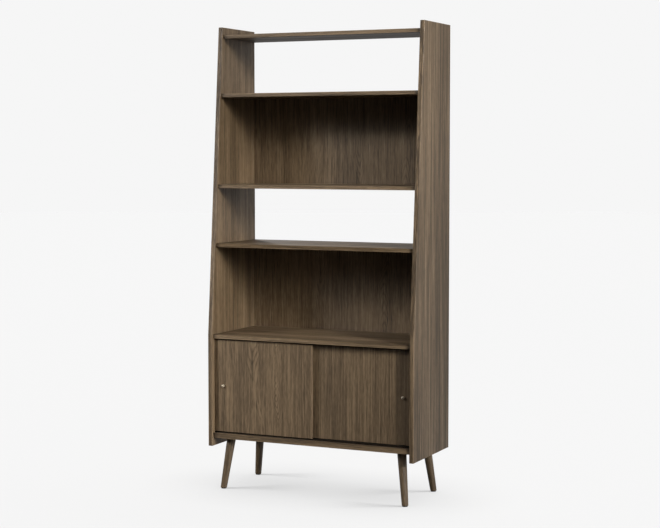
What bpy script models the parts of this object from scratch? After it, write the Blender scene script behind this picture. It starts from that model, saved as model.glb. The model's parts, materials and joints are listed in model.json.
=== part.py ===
"""Bookcase cabinet: tapered sides, fixed shelves, and a cabinet with two sliding doors on splayed legs.

Metres, +Z up, front towards -Y. The origin lies on the floor under the middle of the case.
"""
import math

import bmesh
import bpy
from mathutils import Euler, Matrix, Vector

# Case
CASE_WIDTH = 0.900
FOOT_DEPTH = 0.380                # sides, from the skirt up to the cabinet top
HEAD_DEPTH = 0.280                # sides, at their upper end
SIDE_THICKNESS = 0.018
SHELF_THICKNESS = 0.015
CABINET_TOP_THICKNESS = 0.016
CABINET_BOTTOM_THICKNESS = 0.022
BACK_THICKNESS = 0.005
SHELF_SETBACK = 0.008             # shelf edges behind the front edge of the sides
EASED_EDGE = 0.0008

# Heights, from the floor up
GROUND_CLEARANCE = 0.210          # floor to the underside of the cabinet bottom
SKIRT = 0.032                     # sides below the cabinet bottom
CABINET_OPENING = 0.386
CLOSED_BAY = 0.354                # clear height of a bay with a back
OPEN_BAY = 0.224                  # clear height of a bay without a back
TOP_LIP = 0.030                   # sides above the top shelf

# Joinery
FIT = 0.0003                      # gap between pieces that touch
BACK_LAP = 0.006                  # a back's reach into the rabbets round it
DOWEL_RADIUS = 0.004
DOWEL_HOLD = 0.012                # dowel length in the shelf
DOWEL_REACH = 0.010               # dowel length in the side
DOWEL_MARGIN = 0.055              # dowel centre from a shelf's front and back edges

# Sliding doors
DOOR_THICKNESS = 0.009
DOOR_SETBACK = 0.020              # face of the front door behind the front edge of the sides
DOOR_OVERLAP = 0.018              # lap of the two doors when shut
DOOR_SIDE_GAP = 0.002             # between a shut door and the side
DOOR_LIFT = 0.0012                # between a door's edge and the track
TRACK_HEIGHT = 0.0045
TRACK_FLOOR = 0.0012
CHANNEL_WIDTH = 0.0036
CHANNEL_WALL = 0.0022             # outer walls of the double track
RUNNING_GAP = 0.0003              # beside a tongue or pin in its channel
GLIDE_LENGTH = 0.030
GLIDE_PLUG_WIDTH = 0.0044
GLIDE_PLUG_HEIGHT = 0.012
GLIDE_INSET = 0.060               # glide and guide centres from a door's ends
GUIDE_BODY_RADIUS = 0.0026
GUIDE_BODY_LENGTH = 0.016
GUIDE_HEADROOM = 0.0006           # over a guide pin in the upper track

# Knobs
KNOB_INSET = 0.040                # knob centre from a door's outer end
KNOB_PROJECTION = 0.0115
KNOB_CLEARANCE = 0.0010           # between the rear knob and the door that passes it
KNOB_RADIUS = 0.0064
KNOB_RIM = 0.0008                 # height of the head's edge
KNOB_CROWN = 0.0033               # rise of the head's dome
KNOB_NECK_RADIUS = 0.0034
KNOB_FOOT_RADIUS = 0.0052
KNOB_FOOT_HEIGHT = 0.0014
KNOB_SCREW_HOLD = 0.0065          # screw length in the knob

# Legs
LEG_SPLAY = 0.12                  # run for each unit of rise, to the side and to the front or back
LEG_SIDE_INSET = 0.057            # leg centre at the case from the inner face of the side
LEG_EDGE_INSET = 0.063            # leg centre at the case from the front or back edge of the side
LEG_TOP_RADIUS = 0.0183
LEG_FOOT_RADIUS = 0.0131
LEG_CHAMFER = 0.0015
PLATE_SIZE = 0.060
PLATE_THICKNESS = 0.0025
PLATE_CORNER = 0.008
PLATE_SCREW_INSET = 0.0095        # screw centre from the plate's edges
BOLT_RADIUS = 0.004
BOLT_IN_LEG = 0.035
BOLT_IN_CASE = 0.008
BOLT_CHAMFER = 0.0006
PAD_RADIUS = 0.0105
PAD_THICKNESS = 0.003
PAD_PIN_RADIUS = 0.0015
PAD_PIN_LENGTH = 0.012

# Countersunk screws, for the leg plates and the knobs
SCREW_RADIUS = 0.0019
SCREW_HEAD_RADIUS = 0.0040
SCREW_IN_CASE = 0.013
SCREW_SINK = 0.0002               # head below the face round it

# Facets of round pieces
LEG_SIDES = 32
KNOB_SIDES = 24
PIN_SIDES = 12
ARC_STEPS = 4
CUT_MARGIN = 0.002                # how far a cutter runs past the face that it opens

# Places that follow from the sizes above
FRONT = -FOOT_DEPTH / 2
BACK = FOOT_DEPTH / 2
INNER = CASE_WIDTH / 2 - SIDE_THICKNESS
BOTTOM_UNDER = GROUND_CLEARANCE
BOTTOM_FACE = BOTTOM_UNDER + CABINET_BOTTOM_THICKNESS
CABINET_TOP_UNDER = BOTTOM_FACE + CABINET_OPENING
CABINET_TOP_FACE = CABINET_TOP_UNDER + CABINET_TOP_THICKNESS
LOWER_UNDER = CABINET_TOP_FACE + CLOSED_BAY
MIDDLE_UNDER = LOWER_UNDER + SHELF_THICKNESS + OPEN_BAY
UPPER_UNDER = MIDDLE_UNDER + SHELF_THICKNESS + CLOSED_BAY
TOP_UNDER = UPPER_UNDER + SHELF_THICKNESS + OPEN_BAY
SIDE_BOTTOM = GROUND_CLEARANCE - SKIRT
SIDE_TOP = TOP_UNDER + SHELF_THICKNESS + TOP_LIP
BACK_FACE = BACK - BACK_THICKNESS

DOOR_GAP = FIT + TRACK_HEIGHT + DOOR_LIFT
DOOR_HEIGHT = CABINET_OPENING - 2 * DOOR_GAP
DOOR_WIDTH = INNER - DOOR_SIDE_GAP + DOOR_OVERLAP / 2
DOOR_SPACING = DOOR_THICKNESS + FIT + KNOB_PROJECTION + KNOB_CLEARANCE
FRONT_DOOR_Y = FRONT + DOOR_SETBACK + DOOR_THICKNESS / 2
REAR_DOOR_Y = FRONT_DOOR_Y + DOOR_SPACING

LEG_TOP = -(PLATE_THICKNESS + 2 * FIT)        # from the underside of the cabinet bottom
LEG_FOOT = PAD_THICKNESS + FIT - GROUND_CLEARANCE

# Where a closed bay has its back: the boards that hold it, by their facing heights
BACK_SPANS = {
    "lower_back_panel": (BOTTOM_FACE - BACK_LAP, LOWER_UNDER + BACK_LAP),
    "upper_back_panel": (MIDDLE_UNDER + SHELF_THICKNESS - BACK_LAP, UPPER_UNDER + BACK_LAP),
}

ALONG_X = Euler((math.pi / 2, 0.0, math.pi / 2)).to_matrix().to_4x4()
FORWARD = Euler((math.pi / 2, 0.0, 0.0)).to_matrix().to_4x4()


def new_collection(name):
    collection = bpy.data.collections.new(name)
    bpy.context.scene.collection.children.link(collection)
    return collection


def new_material(name, colour, roughness, metallic=0.0):
    material = bpy.data.materials.new(name)
    material.use_nodes = True
    shader = material.node_tree.nodes["Principled BSDF"]
    shader.inputs["Base Color"].default_value = (*colour, 1.0)
    shader.inputs["Roughness"].default_value = roughness
    shader.inputs["Metallic"].default_value = metallic
    return material


def new_part(name, mesh, material, parent=None, location=(0.0, 0.0, 0.0)):
    """A named sub-part in the bookcase's collection."""
    part = bpy.data.objects.new(name, mesh)
    part.location = location
    part.parent = parent
    mesh.materials.append(material)
    PARTS.objects.link(part)
    return part


def new_cutter(name, mesh, parent=None):
    """A hidden shape that a Boolean takes away from a part, or adds to it."""
    tool = bpy.data.objects.new(name, mesh)
    tool.parent = parent
    tool.hide_render = True
    tool.display_type = "WIRE"
    CUTTERS.objects.link(tool)
    return tool


def combine(part, tool, operation):
    modifier = part.modifiers.new(tool.name, "BOOLEAN")
    modifier.operation = operation
    modifier.object = tool


def ease_edges(part):
    """The small chamfer that sanding leaves on every arris."""
    modifier = part.modifiers.new("eased edges", "BEVEL")
    modifier.width = EASED_EDGE
    modifier.segments = 1
    modifier.limit_method = "ANGLE"


def frozen_mesh(shape, matrix):
    """Takes a shape's evaluated mesh, welds it, places it and removes the shape."""
    bpy.context.view_layer.update()
    depsgraph = bpy.context.evaluated_depsgraph_get()
    mesh = bpy.data.meshes.new_from_object(shape.evaluated_get(depsgraph))
    name, source = shape.name, shape.data
    bpy.data.objects.remove(shape)
    library = bpy.data.meshes if isinstance(source, bpy.types.Mesh) else bpy.data.curves
    library.remove(source)
    mesh.name = name
    mesh.transform(matrix)
    work = bmesh.new()
    work.from_mesh(mesh)
    bmesh.ops.remove_doubles(work, verts=work.verts, dist=0.00001)
    bmesh.ops.recalc_face_normals(work, faces=work.faces)
    work.to_mesh(mesh)
    work.free()
    return mesh


def extruded(name, outline, start, end, turn):
    """A flat outline drawn in X and Y, drawn out along Z from start to end, then turned."""
    curve = bpy.data.curves.new(name, "CURVE")
    curve.dimensions = "2D"
    curve.fill_mode = "BOTH"
    curve.extrude = (end - start) / 2
    spline = curve.splines.new("POLY")
    spline.points.add(len(outline) - 1)
    spline.use_cyclic_u = True
    for point, (x, y) in zip(spline.points, outline):
        point.co = (x, y, 0.0, 1.0)
    shape = bpy.data.objects.new(name, curve)
    bpy.context.scene.collection.objects.link(shape)
    return frozen_mesh(shape, turn @ Matrix.Translation((0.0, 0.0, (start + end) / 2)))


def turned(name, profile, sides, matrix=Matrix.Identity(4)):
    """A profile of (radius, height) points, from the axis at the top down to the axis, turned about Z."""
    mesh = bpy.data.meshes.new(name)
    points = [(radius, 0.0, height) for radius, height in profile]
    mesh.from_pydata(points, [(i, i + 1) for i in range(len(points) - 1)], [])
    shape = bpy.data.objects.new(name, mesh)
    bpy.context.scene.collection.objects.link(shape)
    screw = shape.modifiers.new("turn", "SCREW")
    screw.axis = "Z"
    screw.steps = sides
    screw.render_steps = sides
    screw.use_merge_vertices = True
    screw.merge_threshold = 0.00001
    result = frozen_mesh(shape, matrix)
    result.shade_smooth()
    result.set_sharp_from_angle(angle=math.radians(35))
    return result


def mesh_of(name, shapes):
    """One mesh from several boxes (low, high) and cylinders (radius, low end, high end, matrix)."""
    work = bmesh.new()
    for kind, *sizes in shapes:
        if kind == "box":
            low, high = Vector(sizes[0]), Vector(sizes[1])
            place = Matrix.Translation((low + high) / 2) @ Matrix.Diagonal((*(high - low), 1.0))
            bmesh.ops.create_cube(work, size=1.0, matrix=place)
        else:
            radius, low, high, matrix = sizes
            place = matrix @ Matrix.Translation((0.0, 0.0, (low + high) / 2))
            bmesh.ops.create_cone(work, cap_ends=True, segments=PIN_SIDES, radius1=radius, radius2=radius,
                                  depth=high - low, matrix=place)
    mesh = bpy.data.meshes.new(name)
    work.to_mesh(mesh)
    work.free()
    return mesh


def front_edge(height):
    """Y of the sides' front edge: upright beside the cabinet, leaning back above it."""
    rise = max(0.0, height - CABINET_TOP_FACE) / (SIDE_TOP - CABINET_TOP_FACE)
    return FRONT + rise * (FOOT_DEPTH - HEAD_DEPTH)


def arc(centre, radius, start, end):
    """Points on an arc, with angles in degrees."""
    for step in range(ARC_STEPS + 1):
        angle = math.radians(start + (end - start) * step / ARC_STEPS)
        yield centre[0] + radius * math.cos(angle), centre[1] + radius * math.sin(angle)


def board_list():
    """Each cross board: name, underside, thickness, back edge, and its rabbets for the backs."""
    return (
        ("cabinet_bottom", BOTTOM_UNDER, CABINET_BOTTOM_THICKNESS, BACK, "above"),
        ("cabinet_top", CABINET_TOP_UNDER, CABINET_TOP_THICKNESS, BACK_FACE - FIT, None),
        ("lower_shelf", LOWER_UNDER, SHELF_THICKNESS, BACK, "below"),
        ("middle_shelf", MIDDLE_UNDER, SHELF_THICKNESS, BACK, "above"),
        ("upper_shelf", UPPER_UNDER, SHELF_THICKNESS, BACK, "below"),
        ("top_shelf", TOP_UNDER, SHELF_THICKNESS, BACK, None),
    )


def board_front(under, thickness):
    return front_edge(under + thickness) + SHELF_SETBACK


def dowel_places(under, thickness, back):
    """(Y, Z) of the dowels in a board's end."""
    middle = under + thickness / 2
    return [(board_front(under, thickness) + DOWEL_MARGIN, middle), (back - DOWEL_MARGIN, middle)]


def dowel_shape(side, place, radius, start, end):
    """A dowel or its bore on one side of the case, from start to end measured outwards along X."""
    outwards = Matrix.Translation((0.0, *place)) @ Matrix.Rotation(side * math.pi / 2, 4, "Y")
    return "cylinder", radius, start, end, outwards


def make_cross_board(name, under, thickness, back, rabbet):
    """A shelf, or the cabinet's top or bottom, with its glued dowels and the rabbet for a back panel."""
    front = board_front(under, thickness)
    face = under + thickness
    end = INNER - FIT
    board = new_part(name, mesh_of(name, [("box", (-end, front, under), (end, back, face))]), WALNUT)
    ease_edges(board)
    dowels = [dowel_shape(side, place, DOWEL_RADIUS, end - DOWEL_HOLD, INNER + DOWEL_REACH)
              for side in (-1, 1) for place in dowel_places(under, thickness, back)]
    combine(board, new_cutter(name + "_dowels", mesh_of(name + "_dowels", dowels)), "UNION")
    if rabbet:
        low = face - BACK_LAP - FIT if rabbet == "above" else under - CUT_MARGIN
        high = face + CUT_MARGIN if rabbet == "above" else under + BACK_LAP + FIT
        step = mesh_of(name + "_rabbet", [("box", (-INNER - CUT_MARGIN, BACK_FACE - FIT, low),
                                           (INNER + CUT_MARGIN, back + CUT_MARGIN, high))])
        combine(board, new_cutter(step.name, step), "DIFFERENCE")
    return board


def make_side_panel(name, side):
    """A side with its kinked front edge, blind dowel bores, and pockets for the ends of the backs."""
    outline = [(FRONT, SIDE_BOTTOM), (BACK, SIDE_BOTTOM), (BACK, SIDE_TOP),
               (BACK - HEAD_DEPTH, SIDE_TOP), (FRONT, CABINET_TOP_FACE)]
    faces = sorted((side * INNER, side * CASE_WIDTH / 2))
    panel = new_part(name, extruded(name, outline, *faces, ALONG_X), WALNUT)
    ease_edges(panel)
    cuts = []
    for _, under, thickness, back, _ in board_list():
        for place in dowel_places(under, thickness, back):
            cuts.append(dowel_shape(side, place, DOWEL_RADIUS + FIT, INNER - CUT_MARGIN,
                                    INNER + DOWEL_REACH + FIT))
    for low, high in BACK_SPANS.values():
        across = sorted((side * (INNER - CUT_MARGIN), side * (INNER + BACK_LAP + FIT)))
        cuts.append(("box", (across[0], BACK_FACE - FIT, low - FIT),
                     (across[1], BACK + CUT_MARGIN, high + FIT)))
    combine(panel, new_cutter(name + "_cuts", mesh_of(name + "_cuts", cuts)), "DIFFERENCE")


def make_back_panel(name, low, high):
    reach = INNER + BACK_LAP
    new_part(name, mesh_of(name, [("box", (-reach, BACK_FACE, low), (reach, BACK, high))]), BACK_VENEER)


def make_track(name, base, opening):
    """A double channel from side to side, from its base height to its open side above or below it."""
    floor = base + math.copysign(TRACK_FLOOR, opening - base)
    half = CHANNEL_WIDTH / 2
    outline = [(FRONT_DOOR_Y - half - CHANNEL_WALL, opening), (FRONT_DOOR_Y - half - CHANNEL_WALL, base),
               (REAR_DOOR_Y + half + CHANNEL_WALL, base), (REAR_DOOR_Y + half + CHANNEL_WALL, opening)]
    for channel in (REAR_DOOR_Y, FRONT_DOOR_Y):
        outline += [(channel + half, opening), (channel + half, floor),
                    (channel - half, floor), (channel - half, opening)]
    end = INNER - FIT
    new_part(name, extruded(name, outline, -end, end, ALONG_X), DARK_PLASTIC)


def screw_profile(hold, grip, growth=0.0, run_out=0.0):
    """A countersunk screw on its axis: hold is its length past the face it enters, grip what it clamps.

    The face is at height 0 and the head lies below it. Growth widens it into its own clearance hole, and
    run_out carries the hole past the head.
    """
    head = -grip + SCREW_SINK
    shoulder = head + SCREW_HEAD_RADIUS - SCREW_RADIUS
    shank = SCREW_RADIUS + growth
    profile = [(0.0, hold + growth), (shank, hold + growth), (shank, shoulder + growth),
               (SCREW_HEAD_RADIUS + growth, head + growth)]
    if run_out:
        profile.append((SCREW_HEAD_RADIUS + growth, head - run_out))
    return profile + [(0.0, head - run_out)]


def knob_profile():
    """A turned knob: domed head on a waisted neck, with a small foot and a bore for the screw."""
    rim_low = KNOB_PROJECTION - KNOB_CROWN - KNOB_RIM
    crown_radius = (KNOB_RADIUS ** 2 + KNOB_CROWN ** 2) / (2 * KNOB_CROWN)
    crown_edge = math.degrees(math.acos(KNOB_RADIUS / crown_radius))
    crown = arc((0.0, KNOB_PROJECTION - crown_radius), crown_radius, 90.0, crown_edge)
    waist = KNOB_FOOT_HEIGHT + (rim_low - KNOB_FOOT_HEIGHT) / 3
    bore = SCREW_RADIUS + FIT
    return [(max(0.0, r) if r > 0.00001 else 0.0, z) for r, z in crown] + [
        (KNOB_RADIUS, rim_low), (KNOB_NECK_RADIUS, waist), (KNOB_NECK_RADIUS, KNOB_FOOT_HEIGHT),
        (KNOB_FOOT_RADIUS, KNOB_FOOT_HEIGHT), (KNOB_FOOT_RADIUS, FIT), (bore, FIT),
        (bore, KNOB_SCREW_HOLD + FIT), (0.0, KNOB_SCREW_HOLD + FIT)]


def make_door(name, side, plane):
    """A door with its knob, glides and guides on one carriage, placed where the door is shut.

    The carriage lies on the slide's axis, under the middle of the door and above its channel.
    """
    carriage = bpy.data.objects.new(name + "_carriage", None)
    carriage.location = (side * (INNER - DOOR_SIDE_GAP - DOOR_WIDTH / 2), plane, BOTTOM_FACE + DOOR_GAP)
    PARTS.objects.link(carriage)
    half_width = DOOR_WIDTH / 2
    half_depth = DOOR_THICKNESS / 2
    slab = mesh_of(name, [("box", (-half_width, -half_depth, 0.0), (half_width, half_depth, DOOR_HEIGHT))])
    door = new_part(name, slab, WALNUT, carriage)
    ease_edges(door)

    knob_place = Matrix.Translation((side * (half_width - KNOB_INSET), -half_depth, DOOR_HEIGHT / 2))
    knob = turned(side_name(side) + "_knob", knob_profile(), KNOB_SIDES, knob_place @ FORWARD)
    new_part(knob.name, knob, BRASS, carriage)
    screw = turned(side_name(side) + "_knob_screw", screw_profile(KNOB_SCREW_HOLD, DOOR_THICKNESS),
                   PIN_SIDES, knob_place @ FORWARD)
    new_part(screw.name, screw, STEEL, carriage)
    hole = screw_profile(CUT_MARGIN, DOOR_THICKNESS, FIT, CUT_MARGIN)
    hole_mesh = turned(name + "_screw_hole", hole, PIN_SIDES, knob_place @ FORWARD)
    combine(door, new_cutter(hole_mesh.name, hole_mesh, carriage), "DIFFERENCE")

    cuts = []
    for position, along in (("outer", side), ("inner", -side)):
        x = along * (half_width - GLIDE_INSET)
        make_glide(name + "_" + position + "_glide", x, carriage)
        make_guide(name + "_" + position + "_guide", x, carriage)
        reach = GLIDE_LENGTH / 2 + FIT
        width = GLIDE_PLUG_WIDTH / 2 + FIT
        cuts.append(("box", (x - reach, -width, -CUT_MARGIN), (x + reach, width, GLIDE_PLUG_HEIGHT + FIT)))
        cuts.append(("cylinder", GUIDE_BODY_RADIUS + FIT, DOOR_HEIGHT - GUIDE_BODY_LENGTH - FIT,
                     DOOR_HEIGHT + CUT_MARGIN, Matrix.Translation((x, 0.0, 0.0))))
    combine(door, new_cutter(name + "_cuts", mesh_of(name + "_cuts", cuts), carriage), "DIFFERENCE")


def side_name(side):
    return "left" if side < 0 else "right"


def make_glide(name, x, carriage):
    """A nylon glide: a plug in the door's lower edge, and a tongue that runs in the lower track."""
    tongue = CHANNEL_WIDTH / 2 - RUNNING_GAP
    plug = GLIDE_PLUG_WIDTH / 2
    low = TRACK_FLOOR + 2 * FIT - DOOR_GAP
    outline = [(-tongue, low), (tongue, low), (tongue, FIT), (plug, FIT), (plug, GLIDE_PLUG_HEIGHT),
               (-plug, GLIDE_PLUG_HEIGHT), (-plug, FIT), (-tongue, FIT)]
    mesh = extruded(name, outline, x - GLIDE_LENGTH / 2, x + GLIDE_LENGTH / 2, ALONG_X)
    new_part(name, mesh, NYLON, carriage)


def make_guide(name, x, carriage):
    """A spring guide: a round body in the door's upper edge, and a pin that runs in the upper track."""
    pin = CHANNEL_WIDTH / 2 - RUNNING_GAP
    tip = DOOR_HEIGHT + DOOR_GAP - FIT - TRACK_FLOOR - GUIDE_HEADROOM
    profile = [(0.0, tip), (pin, tip), (pin, DOOR_HEIGHT), (GUIDE_BODY_RADIUS, DOOR_HEIGHT),
               (GUIDE_BODY_RADIUS, DOOR_HEIGHT - GUIDE_BODY_LENGTH), (0.0, DOOR_HEIGHT - GUIDE_BODY_LENGTH)]
    mesh = turned(name, profile, PIN_SIDES, Matrix.Translation((x, 0.0, 0.0)))
    new_part(name, mesh, NYLON, carriage)


def leg_frame(side, end):
    """Leans whatever is drawn about Z, with heights from the cabinet bottom's underside, along one leg."""
    x = side * (INNER - LEG_SIDE_INSET)
    y = end * (FOOT_DEPTH / 2 - LEG_EDGE_INSET)
    return Matrix(((1.0, 0.0, -side * LEG_SPLAY, x), (0.0, 1.0, -end * LEG_SPLAY, y),
                   (0.0, 0.0, 1.0, BOTTOM_UNDER), (0.0, 0.0, 0.0, 1.0)))


def leg_profile():
    """A tapered leg with a bore for its bolt at the top and one for its pad's pin at the foot."""
    bolt = BOLT_RADIUS + FIT
    bolt_end = LEG_TOP - BOLT_IN_LEG - FIT
    pin = PAD_PIN_RADIUS + FIT
    pin_end = LEG_FOOT + PAD_PIN_LENGTH + FIT
    return [(0.0, bolt_end), (bolt, bolt_end), (bolt, LEG_TOP), (LEG_TOP_RADIUS, LEG_TOP),
            (LEG_FOOT_RADIUS, LEG_FOOT + LEG_CHAMFER), (LEG_FOOT_RADIUS - LEG_CHAMFER, LEG_FOOT),
            (pin, LEG_FOOT), (pin, pin_end), (0.0, pin_end)]


def bolt_profile():
    low = LEG_TOP - BOLT_IN_LEG
    slim = BOLT_RADIUS - BOLT_CHAMFER
    return [(0.0, BOLT_IN_CASE), (slim, BOLT_IN_CASE), (BOLT_RADIUS, BOLT_IN_CASE - BOLT_CHAMFER),
            (BOLT_RADIUS, low + BOLT_CHAMFER), (slim, low), (0.0, low)]


def pad_profile():
    low = -GROUND_CLEARANCE
    face = low + PAD_THICKNESS
    tip = LEG_FOOT + PAD_PIN_LENGTH
    return [(0.0, tip), (PAD_PIN_RADIUS, tip), (PAD_PIN_RADIUS, face), (PAD_RADIUS, face),
            (PAD_RADIUS, low), (0.0, low)]


def plate_outline(centre):
    """A square with round corners, centred under one leg."""
    reach = PLATE_SIZE / 2 - PLATE_CORNER
    points = []
    for quarter, (x, y) in enumerate(((1, 1), (-1, 1), (-1, -1), (1, -1))):
        corner = (centre.x + x * reach, centre.y + y * reach)
        points += arc(corner, PLATE_CORNER, 90.0 * quarter, 90.0 * (quarter + 1))
    return points


def make_leg(name, side, end, bottom_cuts):
    """A leg with its plate, screws, hanger bolt and foot pad. Adds its holes in the cabinet bottom."""
    frame = leg_frame(side, end)
    new_part(name, turned(name, leg_profile(), LEG_SIDES, frame), LEG_WOOD)
    new_part(name + "_bolt", turned(name + "_bolt", bolt_profile(), PIN_SIDES, frame), STEEL)
    new_part(name + "_pad", turned(name + "_pad", pad_profile(), LEG_SIDES, frame), NYLON)

    plate_low = BOTTOM_UNDER - FIT - PLATE_THICKNESS
    centre = frame.to_translation()
    plate_mesh = extruded(name + "_plate", plate_outline(centre), plate_low, BOTTOM_UNDER - FIT,
                          Matrix.Identity(4))
    plate = new_part(plate_mesh.name, plate_mesh, STEEL)
    bolt_hole = BOLT_RADIUS + FIT
    hole_mesh = mesh_of(name + "_plate_hole", [("cylinder", bolt_hole, -PLATE_THICKNESS - CUT_MARGIN,
                                               CUT_MARGIN, frame)])
    combine(plate, new_cutter(hole_mesh.name, hole_mesh), "DIFFERENCE")
    bottom_cuts.append(("cylinder", bolt_hole, -CUT_MARGIN, BOLT_IN_CASE + FIT, frame))

    reach = PLATE_SIZE / 2 - PLATE_SCREW_INSET
    grip = PLATE_THICKNESS + FIT
    for number, (x, y) in enumerate(((-1, -1), (1, -1), (1, 1), (-1, 1)), start=1):
        place = Matrix.Translation((centre.x + x * reach, centre.y + y * reach, BOTTOM_UNDER))
        screw_name = f"{name}_plate_screw_{number}"
        new_part(screw_name, turned(screw_name, screw_profile(SCREW_IN_CASE, grip), PIN_SIDES, place), STEEL)
        hole = screw_profile(CUT_MARGIN, grip, FIT, CUT_MARGIN)
        hole_mesh = turned(screw_name + "_hole", hole, PIN_SIDES, place)
        combine(plate, new_cutter(hole_mesh.name, hole_mesh), "DIFFERENCE")
        bottom_cuts.append(("cylinder", SCREW_RADIUS + FIT, -CUT_MARGIN, SCREW_IN_CASE + FIT, place))


def make_legs(cabinet_bottom):
    bottom_cuts = []
    for end_name, end in (("front", -1), ("rear", 1)):
        for side in (-1, 1):
            make_leg(f"{end_name}_{side_name(side)}_leg", side, end, bottom_cuts)
    holes = new_cutter("cabinet_bottom_holes", mesh_of("cabinet_bottom_holes", bottom_cuts))
    combine(cabinet_bottom, holes, "DIFFERENCE")


def print_summary():
    travel = 2 * (INNER - DOOR_SIDE_GAP) - DOOR_WIDTH
    print(f"case {CASE_WIDTH:.3f} x {FOOT_DEPTH:.3f} x {SIDE_TOP:.3f} m, door travel {travel:.4f} m")
    for name, under, thickness, _, _ in board_list():
        print(f"{name}: {under:.4f} to {under + thickness:.4f}, front {board_front(under, thickness):.4f}")


for leftover in list(bpy.data.objects):
    bpy.data.objects.remove(leftover)

PARTS = new_collection("bookcase_cabinet")
CUTTERS = new_collection("cutters")
WALNUT = new_material("walnut_veneer", (0.135, 0.104, 0.070), 0.50)
BACK_VENEER = new_material("back_veneer", (0.125, 0.096, 0.066), 0.55)
LEG_WOOD = new_material("leg_wood", (0.110, 0.088, 0.064), 0.45)
BRASS = new_material("satin_brass", (0.62, 0.52, 0.38), 0.30, 1.0)
STEEL = new_material("zinc_steel", (0.42, 0.42, 0.43), 0.40, 1.0)
DARK_PLASTIC = new_material("dark_plastic", (0.018, 0.014, 0.011), 0.50)
NYLON = new_material("black_nylon", (0.025, 0.023, 0.021), 0.45)

boards = {row[0]: make_cross_board(*row) for row in board_list()}
for panel_side in (-1, 1):
    make_side_panel(side_name(panel_side) + "_side_panel", panel_side)
for back_name, (back_low, back_high) in BACK_SPANS.items():
    make_back_panel(back_name, back_low, back_high)
make_track("lower_track", BOTTOM_FACE + FIT, BOTTOM_FACE + FIT + TRACK_HEIGHT)
make_track("upper_track", CABINET_TOP_UNDER - FIT, CABINET_TOP_UNDER - FIT - TRACK_HEIGHT)
make_door("left_door", -1, FRONT_DOOR_Y)
make_door("right_door", 1, REAR_DOOR_Y)
make_legs(boards["cabinet_bottom"])
print_summary()
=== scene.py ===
# %% [markdown]
# # Dressing a bookcase cabinet
# The solids of this bookcase are already exact: boards, doors, legs and fittings, each in its own place.
# This lesson keeps them where they are and gives them their looks: smoked walnut veneer whose figure is cut
# from a virtual log, turned legs and knobs with a fine surface, small screws, and soft studio light.

# %% Load the frame
import json
import math

import bmesh
import bpy
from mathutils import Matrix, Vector

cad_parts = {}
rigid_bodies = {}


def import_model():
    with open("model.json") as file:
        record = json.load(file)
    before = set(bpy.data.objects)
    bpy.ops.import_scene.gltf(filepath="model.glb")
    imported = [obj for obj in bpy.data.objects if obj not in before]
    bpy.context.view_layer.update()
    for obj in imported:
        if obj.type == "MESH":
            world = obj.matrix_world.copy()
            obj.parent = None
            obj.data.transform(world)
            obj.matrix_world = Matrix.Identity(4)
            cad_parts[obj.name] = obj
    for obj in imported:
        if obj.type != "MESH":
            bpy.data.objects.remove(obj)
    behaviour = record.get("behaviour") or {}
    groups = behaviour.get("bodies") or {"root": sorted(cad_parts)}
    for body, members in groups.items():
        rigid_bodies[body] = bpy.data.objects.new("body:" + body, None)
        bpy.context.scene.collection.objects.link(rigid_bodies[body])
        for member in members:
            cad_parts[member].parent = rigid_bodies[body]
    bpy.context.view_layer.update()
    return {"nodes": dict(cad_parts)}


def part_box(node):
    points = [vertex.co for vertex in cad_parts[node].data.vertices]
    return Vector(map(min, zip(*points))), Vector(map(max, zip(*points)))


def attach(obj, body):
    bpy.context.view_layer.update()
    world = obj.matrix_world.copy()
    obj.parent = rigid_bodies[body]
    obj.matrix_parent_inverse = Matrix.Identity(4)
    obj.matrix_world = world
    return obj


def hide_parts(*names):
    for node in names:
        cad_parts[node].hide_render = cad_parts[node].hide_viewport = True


for leftover in list(bpy.data.objects):
    bpy.data.objects.remove(leftover)
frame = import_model()
nodes = frame["nodes"]
scene = bpy.context.scene

# %% [markdown]
# ## The camera
# The picture was taken with a long lens from the front right, a little above the middle of the case, so the
# upright edges stay almost parallel. The numbers come from fitting the case's corners to the picture. A little
# lens shift keeps the uprights straighter than tilting alone would.

# %% Camera
CAMERA_PLACE = (2.6911, -5.7778, 1.3763)
CAMERA_YAW = 24.9074
CAMERA_DIP = 3.5951
CAMERA_LENS = 86.235
CAMERA_SHIFT = -0.02
SENSOR_WIDTH = 36.0

camera_data = bpy.data.cameras.new("photo_camera")
camera_data.lens = CAMERA_LENS
camera_data.sensor_width = SENSOR_WIDTH
camera_data.shift_y = CAMERA_SHIFT
camera = bpy.data.objects.new("photo_camera", camera_data)
camera.location = CAMERA_PLACE
camera.rotation_euler = (math.radians(90.0 - CAMERA_DIP), 0.0, math.radians(CAMERA_YAW))
scene.collection.objects.link(camera)
scene.camera = camera
print("camera", CAMERA_PLACE, "lens", CAMERA_LENS)

# %% [markdown]
# ## A helper for node trees
# Every finish below is a small tree of nodes. Writing each node as one call, with its inputs in order, keeps
# the trees readable: an input is either a plain value or the output of an earlier node.


# %% Node helper
def add(tree, kind, *inputs, **settings):
    """Adds a node, sets its options, and fills its inputs in order. None leaves an input as it is."""
    node = tree.nodes.new("ShaderNode" + kind)
    for name, value in settings.items():
        setattr(node, name, value)
    for socket, value in zip(node.inputs, inputs):
        if isinstance(value, bpy.types.NodeSocket):
            tree.links.new(value, socket)
        elif value is not None:
            socket.default_value = value
    return node


def math_node(tree, operation, *inputs):
    return add(tree, "Math", *inputs, operation=operation).outputs[0]


def eased(tree, value, low, high, at_low, at_high):
    """A smooth step of a value from one level to another."""
    step = add(tree, "MapRange", value, low, high, at_low, at_high, interpolation_type="SMOOTHSTEP")
    return step.outputs[0]


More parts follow.
